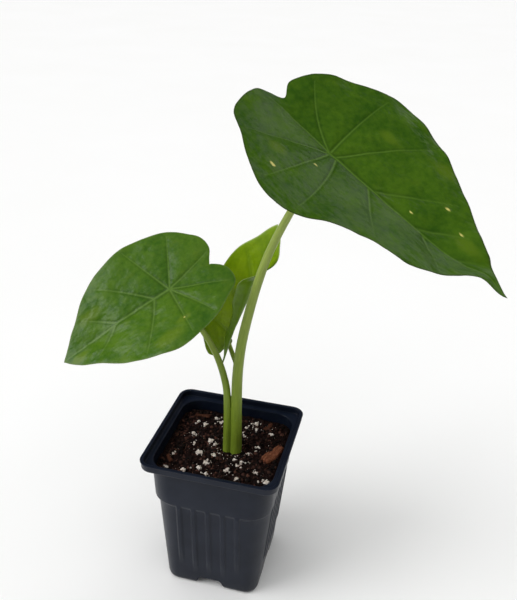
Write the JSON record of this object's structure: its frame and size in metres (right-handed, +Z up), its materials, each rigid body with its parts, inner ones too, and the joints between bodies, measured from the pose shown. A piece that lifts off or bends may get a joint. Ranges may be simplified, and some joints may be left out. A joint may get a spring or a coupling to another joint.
{
  "type": "potted alocasia",
  "caption": "Young elephant-ear plant with broad heart-shaped leaves on upright petioles, growing in a square plastic nursery pot of bark and perlite mix.",
  "frame": {"origin": "middle of the whole object's footprint, on the surface that the pot stands on", "axes": "+Z up, -Y out of the pot face that the picture shows square on, +X to the right of that face"},
  "size_m": [0.2672, 0.1398, 0.3771],
  "materials": {
    "pot_plastic": "moulded, satin charcoal",
    "mix": "damp, crumbly bark and peat",
    "corm": "fibrous brown skin",
    "petiole": "smooth, waxy, fleshy",
    "blade": "waxy upper face with raised veins",
    "young_blade": "tender, bright, half unrolled",
    "perlite": "chalky, porous",
    "bark": "rough, torn along the grain"
  },
  "bodies": {
    "root": {"nursery_pot": "pot_plastic", "potting_mix": "mix", "corm_with_roots": "corm", "petiole_large": "petiole", "petiole_left": "petiole", "petiole_young": "petiole", "blade_large": "blade", "blade_left": "blade", "blade_young": "young_blade", "bark_chip_1": "bark", "bark_chip_2": "bark", "bark_chip_3": "bark", "bark_chip_4": "bark", "perlite_1": "perlite", "perlite_2": "perlite", "perlite_3": "perlite", "perlite_4": "perlite", "perlite_5": "perlite", "perlite_6": "perlite", "perlite_7": "perlite", "perlite_8": "perlite", "perlite_9": "perlite", "perlite_10": "perlite", "perlite_11": "perlite", "perlite_12": "perlite", "perlite_13": "perlite", "perlite_14": "perlite", "perlite_15": "perlite", "perlite_16": "perlite", "perlite_17": "perlite", "perlite_18": "perlite", "perlite_19": "perlite", "perlite_20": "perlite", "perlite_21": "perlite", "perlite_22": "perlite", "perlite_23": "perlite", "perlite_24": "perlite", "perlite_25": "perlite", "perlite_26": "perlite", "perlite_27": "perlite", "perlite_28": "perlite", "perlite_29": "perlite", "perlite_30": "perlite", "perlite_31": "perlite", "perlite_32": "perlite"}
  },
  "joints": []
}
